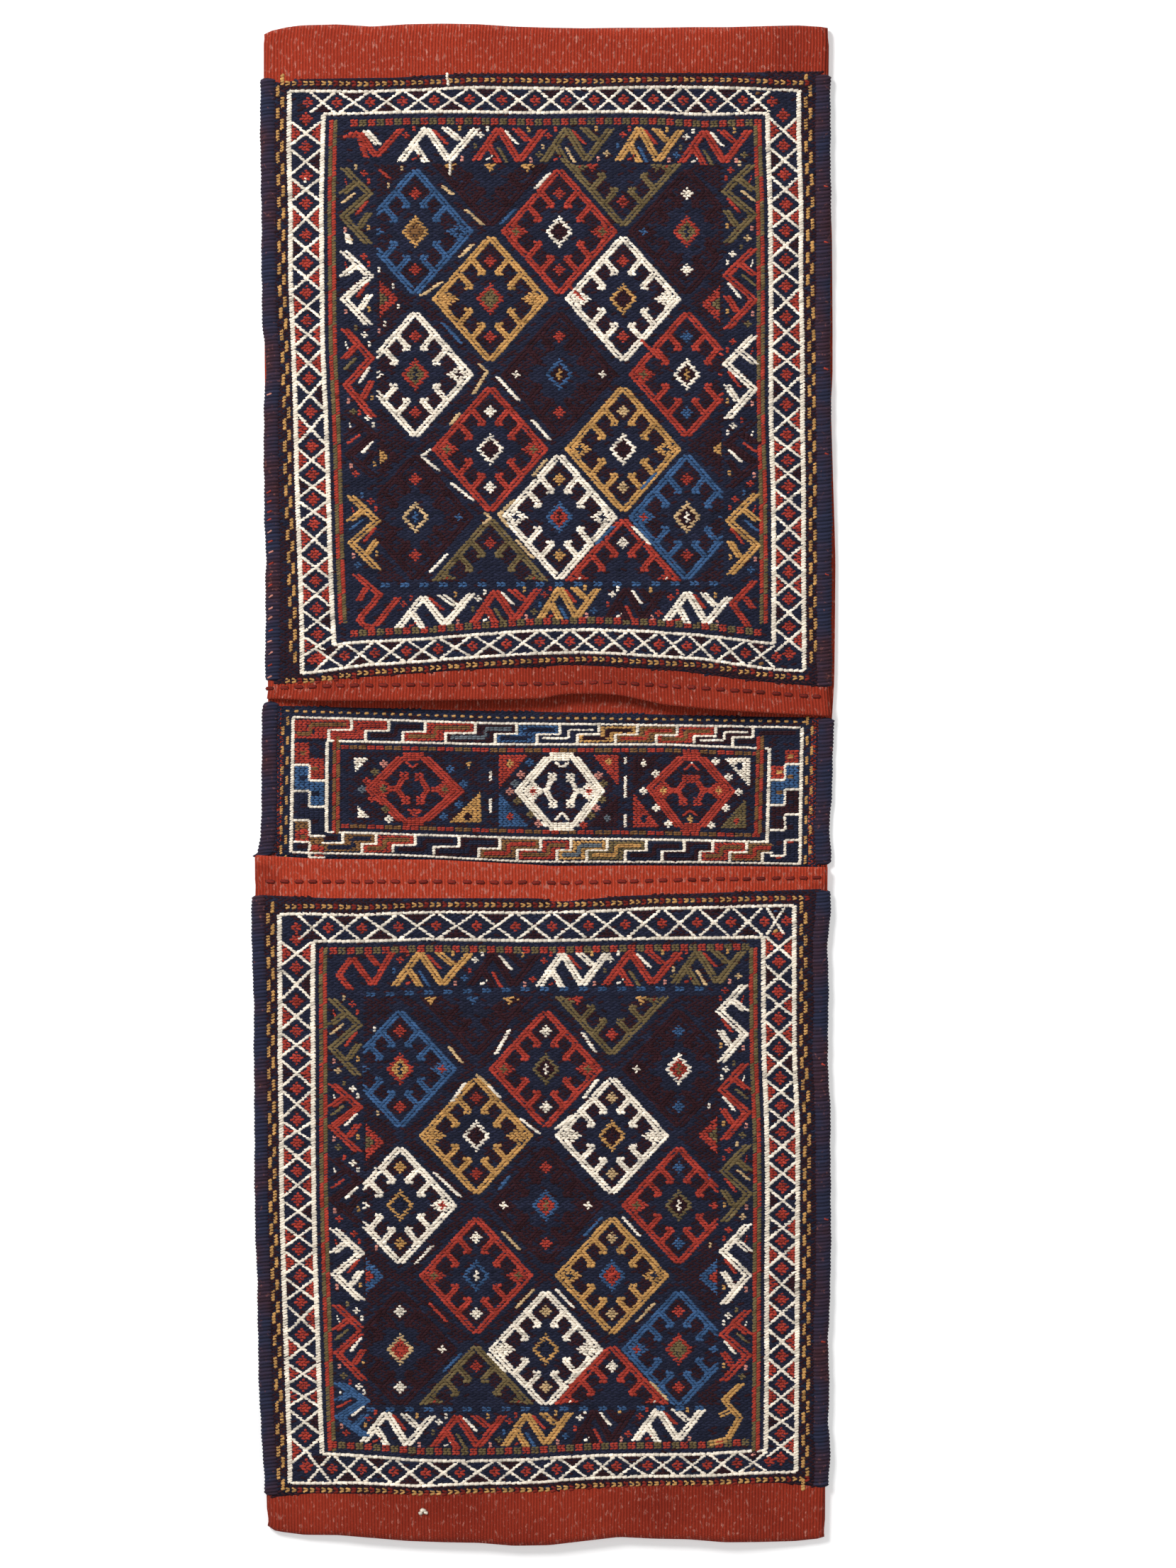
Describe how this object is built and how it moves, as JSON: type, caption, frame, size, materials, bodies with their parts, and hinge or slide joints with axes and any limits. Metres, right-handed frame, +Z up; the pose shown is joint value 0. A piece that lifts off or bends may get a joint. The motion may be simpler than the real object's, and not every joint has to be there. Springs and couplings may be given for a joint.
{
  "type": "kilim saddle bag",
  "caption": "Woven wool double saddle bag lying flat: pouches at both ends of a folded strip, a bridge between them, hooked diamonds in coloured wool, dark bound sides.",
  "frame": {"origin": "under the middle of the bag, on the surface it lies on", "axes": "+Y along the bag towards the upper pouch, +X to the right of someone looking down on the faces, +Z up"},
  "size_m": [0.4876, 1.304, 0.0162],
  "materials": {
    "red_cloth": "matt ribbed plain weave",
    "binding_wool": "matt overcast wool",
    "dark_wool": "matt wrapped wool",
    "aubergine_wool": "matt wrapped wool",
    "red_wool": "matt wrapped wool",
    "ivory_wool": "matt wrapped wool",
    "gold_wool": "matt wrapped wool",
    "olive_wool": "matt wrapped wool",
    "blue_wool": "matt wrapped wool"
  },
  "bodies": {
    "root": {"woven_strip": "red_cloth", "upper_binding_left": "binding_wool", "upper_binding_right": "binding_wool", "bridge_binding_left": "binding_wool", "bridge_binding_right": "binding_wool", "lower_binding_left": "binding_wool", "lower_binding_right": "binding_wool", "upper_gold_guard": "gold_wool", "upper_ivory_lattice": "ivory_wool", "upper_red_stripe": "red_wool", "upper_hooked_band": "dark_wool", "upper_lip_stitches": "aubergine_wool", "upper_diamond_row1_column2": "aubergine_wool", "upper_diamond_row1_column4": "olive_wool", "upper_diamond_row2_column1": "blue_wool", "upper_diamond_row2_column3": "red_wool", "upper_diamond_row2_column5": "aubergine_wool", "upper_diamond_row3_column2": "gold_wool", "upper_diamond_row3_column4": "ivory_wool", "upper_diamond_row4_column1": "ivory_wool", "upper_diamond_row4_column3": "aubergine_wool", "upper_diamond_row4_column5": "red_wool", "upper_diamond_row5_column2": "red_wool", "upper_diamond_row5_column4": "gold_wool", "upper_diamond_row6_column1": "aubergine_wool", "upper_diamond_row6_column3": "ivory_wool", "upper_diamond_row6_column5": "blue_wool", "upper_diamond_row7_column2": "olive_wool", "upper_diamond_row7_column4": "red_wool", "lower_gold_guard": "gold_wool", "lower_ivory_lattice": "ivory_wool", "lower_red_stripe": "red_wool", "lower_hooked_band": "dark_wool", "lower_lip_stitches": "aubergine_wool", "lower_diamond_row1_column2": "aubergine_wool", "lower_diamond_row1_column4": "olive_wool", "lower_diamond_row2_column1": "blue_wool", "lower_diamond_row2_column3": "red_wool", "lower_diamond_row2_column5": "aubergine_wool", "lower_diamond_row3_column2": "gold_wool", "lower_diamond_row3_column4": "ivory_wool", "lower_diamond_row4_column1": "ivory_wool", "lower_diamond_row4_column3": "aubergine_wool", "lower_diamond_row4_column5": "red_wool", "lower_diamond_row5_column2": "red_wool", "lower_diamond_row5_column4": "gold_wool", "lower_diamond_row6_column1": "aubergine_wool", "lower_diamond_row6_column3": "ivory_wool", "lower_diamond_row6_column5": "blue_wool", "lower_diamond_row7_column2": "olive_wool", "lower_diamond_row7_column4": "red_wool", "bridge_gold_guard": "gold_wool", "bridge_stepped_border": "dark_wool", "bridge_medallion_1": "red_wool", "bridge_medallion_2": "ivory_wool", "bridge_medallion_3": "red_wool"}
  },
  "joints": []
}
